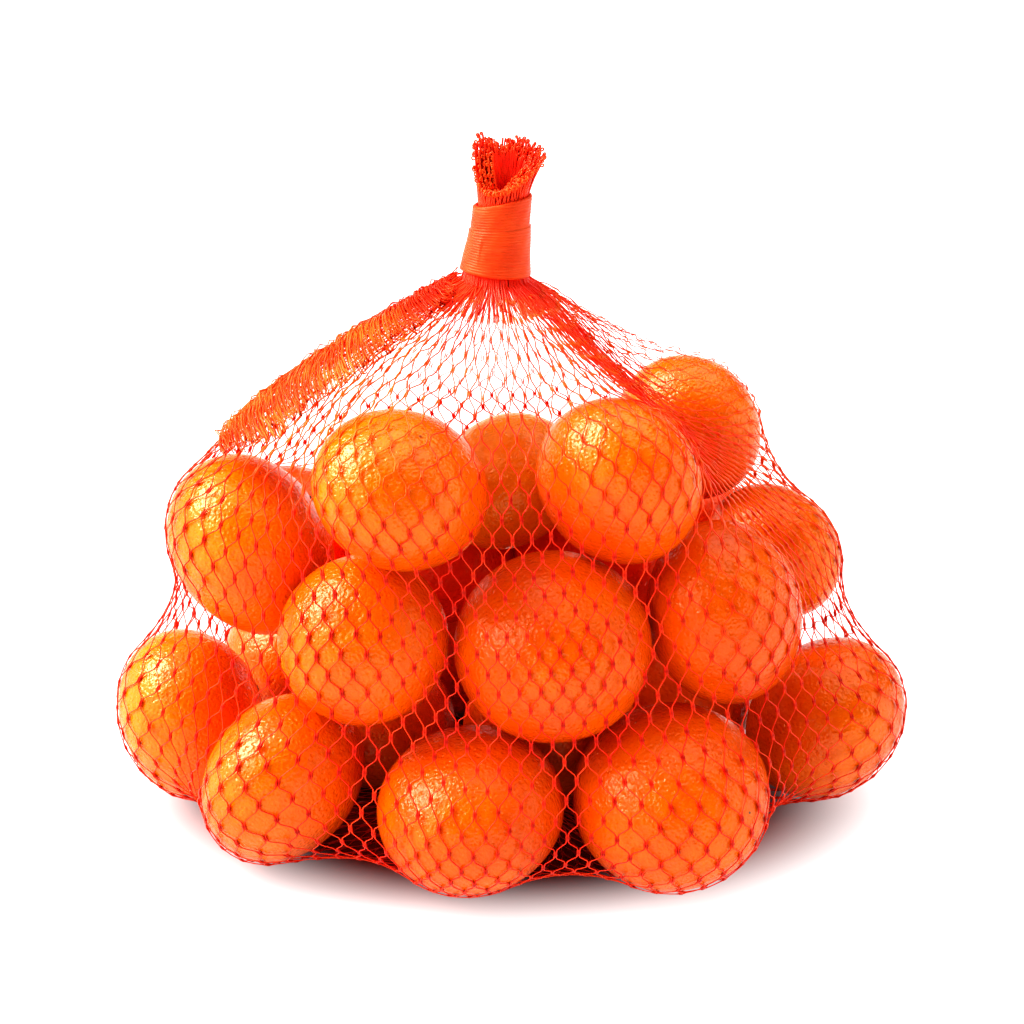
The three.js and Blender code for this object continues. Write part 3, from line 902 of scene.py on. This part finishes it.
def add_band():
    """Slack net pushed down the left edge: its yarns lie across the band, looped at its edges."""
    random = np.random.default_rng(31)
    paths = []
    for layer in range(BAND_LAYERS):
        place = (np.arange(BAND_CROSSINGS) + layer / BAND_LAYERS) / BAND_CROSSINGS
        place = np.clip(place + random.normal(0, 0.003, BAND_CROSSINGS), 0, 1)
        near = random.uniform(0.75, 1.1, BAND_CROSSINGS)
        far = random.uniform(0.75, 1.1, BAND_CROSSINGS)
        lift = random.normal(0.9 + 0.7 * layer, 0.4, BAND_CROSSINGS)
        lift = np.convolve(np.pad(lift, 2, "edge"), np.ones(5) / 5, "valid")
        crossings = []
        for index in range(BAND_CROSSINGS):
            across = np.linspace(-far[index], near[index], CROSSING_POINTS)
            sag = 1.2 * np.sin(2.6 * across + 7 * place[index] + layer)
            if index % 2:
                across = across[::-1]
                sag = sag[::-1]
            crossings.append((across, sag, place[index], lift[index]))
        across = np.concatenate([c[0] for c in crossings])
        sag = np.concatenate([c[1] for c in crossings])
        share = np.repeat(place, CROSSING_POINTS)
        raised = np.repeat(lift, CROSSING_POINTS) + random.normal(0, 0.3, len(share))
        raised = raised + 1.3 * (random.random(len(share)) < 0.06)
        half_width = np.interp(share, (0, 0.1, 0.35, 0.8, 1), (6, 11, 17, 18, 9))
        from_axis = np.interp(share, (0, 1), (10.5, 75))
        down = 4 + BAND_LENGTH * share + sag + 7.0 * across * half_width / 22
        azimuth = BAND_AZIMUTH + half_width * across / from_axis
        points = slope_places(np.maximum(down, 1.5), azimuth)
        paths.append(points + unit(points - HEAP_MIDDLE) * np.maximum(raised, 0.1)[:, None])
    paths = np.array(paths)
    knotted = (random.random(paths.shape[:2]) < BAND_KNOTS) * 1.0
    # the band takes the paler orange of painted light, less of it near the neck
    painted_lit = 0.95 - 0.8 * smooth(paths[..., 2], 172, 186)
    outward = unit(paths - HEAP_MIDDLE)
    add_yarns("slack_band", paths, outward, BAND_RADIUS + 0.2 * knotted, knotted, painted_lit)


def add_neck_yarns():
    """The net's yarns crowded together where they come out from under the tie."""
    random = np.random.default_rng(41)
    stations = 6
    share = np.linspace(0, 1, stations)[None, :]
    start = random.uniform(0, 2 * math.pi, NECK_YARNS)[:, None]
    azimuth = start + random.normal(0, 0.06, (NECK_YARNS, 1)) * share
    length = random.uniform(5, 15, (NECK_YARNS, 1))
    places = slope_places((0.5 + length * share).ravel(), azimuth.ravel())
    paths = places.reshape(NECK_YARNS, stations, 3)
    paths = paths + unit(paths - HEAP_MIDDLE) * random.uniform(-0.4, 0.5, (NECK_YARNS, 1, 1))
    top = np.stack([np.cos(start[:, 0]), np.sin(start[:, 0])], -1) * (NECK_RADIUS - 0.9)
    into_tie = np.column_stack([NECK_CENTRE + top, np.full(NECK_YARNS, NECK_HEIGHT + 5)])
    paths = np.concatenate([into_tie[:, None], paths], 1)
    outward = paths - np.append(NECK_CENTRE, NECK_HEIGHT - 30)
    add_yarns("neck_yarns", paths, unit(outward), NECK_YARN_RADIUS, 0.0, 0.0)


YARN = net_finish()
add_net()
add_band()
add_neck_yarns()


# ---- The tie ------------------------------------------------------------------------------------
def tie_radius(share):
    """Radius of the tape at a share of its height: wide below the step, narrow above it."""
    flare = TIE_BOTTOM_RADIUS - TIE_TOP_RADIUS - TIE_STEP
    wide = TIE_TOP_RADIUS + TIE_STEP + flare * np.maximum(0, 1 - share / TIE_STEP_AT) ** 1.2
    return np.where(share > TIE_STEP_AT, TIE_TOP_RADIUS, wide)


def tie_point(share, angle, inset):
    """A point so far inside the tape's surface. Its axis leans, and its rim and foot slant."""
    radius = tie_radius(share) - inset
    side = np.cos(angle)
    slant = share * TIE_RIM_SLANT * side - (1 - share) * TIE_FOOT_SLANT * side
    x = NECK_CENTRE[0] + TIE_LEAN * share + radius * side
    y = NECK_CENTRE[1] + radius * np.sin(angle)
    z = NECK_HEIGHT + TIE_LIFT + TIE_HEIGHT * share + slant
    return np.stack([x, y, z], -1)


def add_tie():
    """Wound tape: many fine turns, one above the other, with a wider lower winding."""
    sides = 160
    rows = 190
    inner_rows = 12
    windings = 26
    crease_at = -2.16
    share = np.linspace(0, 1, rows)[:, None]
    angle = 2 * math.pi * np.arange(sides)[None, :] / sides
    wander = 0.25 * np.sin(angle + 0.7) + 0.12 * np.sin(3 * angle + 2)
    phase = share * windings + wander + angle / (2 * math.pi)
    ridge = np.abs(np.sin(math.pi * phase)) ** 0.6
    groove = 0.16 * (1 - ridge)
    uneven = 0.12 * np.sin(5 * angle + 9 * share) + 0.08 * np.sin(11 * angle - 17 * share)
    crease = np.arctan2(np.sin(angle - crease_at), np.cos(angle - crease_at))
    crease = 0.25 * np.exp(-((crease / 0.05) ** 2)) * smooth(share, 0.1, 0.3)
    crease = crease * (1 - smooth(share, 0.45, 0.6))
    inset = groove + 0.1 + 0.5 * uneven - crease
    ends = np.minimum(share, 1 - share) * TIE_HEIGHT
    inset = inset + 0.5 * np.maximum(0, 1 - ends / 0.5) ** 2
    outside = tie_point(share, angle, inset)
    inner_share = np.linspace(1, 0, inner_rows)[:, None]
    inside = tie_point(inner_share, angle + 0 * inner_share, TIE_WALL + 0 * angle)
    points = np.concatenate([outside, inside]).reshape(-1, 3)
    faces = grid_faces(rows + inner_rows, sides, wrap_rows=True)
    tie = add_piece("wound_tie", points, faces, tape_finish())
    finish_piece(tie, "band")


add_tie()


# ---- The tuft -----------------------------------------------------------------------------------
def tuft_rim(angle):
    """Height of the tuft's rim above the tie at each angle, and how far it spreads there."""
    height = TUFT_LOW_RIM + 0 * angle
    spread = 0 * angle
    for toward, width, lobe_height, lobe_spread in TUFT_LOBES:
        middle = math.radians(toward - 90)
        away = np.arctan2(np.sin(angle - middle), np.cos(angle - middle))
        share = np.exp(-((away / math.radians(width)) ** 2))
        height = height + lobe_height * share
        spread = spread + lobe_spread * share
    return height, spread


TUFT_STRANDS = 96
TUFT_LAYERS = 5
TUFT_STATIONS = 16
LOOP_STATIONS = 7
TUFT_RADIUS = 0.28


def tuft_layer(layer, random):
    """Paths of one layer of strands side by side, each of which ends in a small loop."""
    angle = 2 * math.pi * (np.arange(TUFT_STRANDS) + 0.5 * (layer % 2)) / TUFT_STRANDS
    angle = angle + random.normal(0, 0.012, TUFT_STRANDS)
    height, spread = tuft_rim(angle)
    height = height * (1 - 0.045 * layer) * random.uniform(0.88, 1.04, TUFT_STRANDS)
    wall = TIE_WALL + TIE_GAP + 0.5 + 1.0 * layer
    sway = random.normal(0, 0.03, TUFT_STRANDS)
    wave = random.uniform(0, 6.28, TUFT_STRANDS)
    share = np.linspace(0, 1, TUFT_STATIONS)[None, :]
    way = angle[:, None] + sway[:, None] * share
    way = way + 0.035 * np.sin(9 * share + wave[:, None]) * share
    strand = tie_point(1.0, way, wall + 0.5 * layer * share - spread[:, None] * share**1.4)
    strand[..., 2] += height[:, None] * share - 3 * (1 - share)
    tip = strand[:, -1]
    rise = unit(strand[:, -1] - strand[:, -2])
    out = unit(np.stack([np.cos(angle), np.sin(angle), 0 * angle], -1))
    along = np.stack([-np.sin(angle), np.cos(angle), 0 * angle], -1)
    turn = random.uniform(-1.2, 1.2, TUFT_STRANDS)[:, None]
    bend = unit(out * np.cos(turn) + along * np.sin(turn))
    size = random.uniform(0.35, 0.62, TUFT_STRANDS)[:, None]
    loop = []
    for station in range(1, LOOP_STATIONS + 1):
        around = 1.7 * math.pi * station / LOOP_STATIONS
        loop.append(tip + bend * size * (1 - math.cos(around)) + rise * size * math.sin(around))
    return np.concatenate([strand, np.stack(loop, 1)], 1)


def add_tuft():
    """Loose ends of the net above the tie, with painted light, a paler orange, at their tips."""
    random = np.random.default_rng(21)
    paths = np.concatenate([tuft_layer(layer, random) for layer in range(TUFT_LAYERS)])
    centre = np.array([NECK_CENTRE[0] + TIE_LEAN, NECK_CENTRE[1]])
    outward = np.zeros_like(paths)
    outward[..., :2] = paths[..., :2] - centre
    outward = unit(outward) + np.array([0, 0, 0.02])
    from_tip = np.arange(TUFT_STATIONS + LOOP_STATIONS) - TUFT_STATIONS
    ends = np.clip((from_tip + 3) / 5, 0, 1)
    add_yarns("tuft", paths, outward, TUFT_RADIUS, 0.0, 0.5 * ends)


add_tuft()


# ---- Floor, light and camera --------------------------------------------------------------------
FLOOR_RINGS = [(10, 0), (1000, 0), (2500, 0), (3500, 80), (4500, 300), (5500, 700), (6500, 1250)]
FLOOR_SIDES = 96
FOOTPRINT = (0.72, 1.06, 1.0)  # makes the bag's oval footprint a circle
SHADE_TO = 0.064  # metres from the middle of that circle
GLOW_FROM = 0.107
WORLD_LIGHT = 0.04
LENS = 65.4
CAMERA_ELEVATION = 20
CAMERA_DISTANCE = 0.6
CAMERA_TARGET = (0.0006, -0.0435, 0.1230)


def add_floor():
    """White paper that curves up far off. Under the bag it is painted dark red as painted shade; all
    round the bag it glows a little, painted light that lifts the bag's cast shadow.
    """
    around = 2 * math.pi * np.arange(FLOOR_SIDES) / FLOOR_SIDES
    points = [np.column_stack([radius * np.cos(around), radius * np.sin(around), z + 0 * around])
              for radius, z in FLOOR_RINGS]
    faces = grid_faces(len(FLOOR_RINGS), FLOOR_SIDES).tolist() + [list(range(FLOOR_SIDES))]
    paper = Finish("floor", Roughness=1.0, Emission_Strength=0.80, Specular_IOR_Level=0.0)
    from_middle = paper.away(paper.stretched(paper.place(), FOOTPRINT), (0.0, 0.0, 0.0))
    glow = paper.step(from_middle, SHADE_TO, GLOW_FROM)
    # painted shade: dark red paper under the bag; painted light: the glow round it
    paper.feed(Base_Color=paper.mix(glow, (0.30, 0.04, 0.02, 1.0), (0.25, 0.25, 0.25, 1.0)))
    paper.feed(Emission_Color=paper.mix(glow, (0.0, 0.0, 0.0, 1.0), (1.0, 1.0, 1.0, 1.0)))
    add_piece("floor", np.concatenate(points), faces, paper.material)


def add_camera():
    """Straight from the front, looking down a little."""
    camera = bpy.data.cameras.new("camera")
    camera.lens = LENS
    camera.sensor_width = 36.0
    camera.clip_start = 0.01
    camera.clip_end = 20.0
    eye = bpy.data.objects.new("camera", camera)
    bpy.context.scene.collection.objects.link(eye)
    elevation = math.radians(CAMERA_ELEVATION)
    back = Vector((0, -math.cos(elevation), math.sin(elevation)))
    eye.location = Vector(CAMERA_TARGET) + back * CAMERA_DISTANCE
    eye.rotation_euler = (-back).to_track_quat("-Z", "Y").to_euler()
    bpy.context.scene.camera = eye


def add_sun(name, toward, spread, power):
    """A large, far softbox: toward is the direction it shines from, spread its size in degrees."""
    sun = bpy.data.lights.new(name, "SUN")
    sun.energy = power
    sun.angle = math.radians(spread)
    lamp = bpy.data.objects.new(name, sun)
    bpy.context.scene.collection.objects.link(lamp)
    lamp.rotation_euler = Vector(toward).to_track_quat("Z", "Y").to_euler()


add_floor()
add_sun("key", (-0.72, 0.10, 0.68), 38, 4.5)
add_sun("low_left", (-0.90, -0.15, 0.38), 36, 0.5)
add_sun("top", (0.16, 0.22, 0.96), 70, 1.7)
add_sun("front_left", (-0.67, -0.45, 0.57), 28, 0.6)
add_sun("right", (0.93, -0.15, 0.33), 40, 0.6)
add_camera()
world = bpy.data.worlds.new("studio")
world.use_nodes = True
background = world.node_tree.nodes["Background"]
background.inputs["Color"].default_value = (1, 1, 1, 1)
background.inputs["Strength"].default_value = WORLD_LIGHT
scene = bpy.context.scene
scene.world = world
scene.view_settings.view_transform = "Standard"
scene.view_settings.look = "High Contrast"
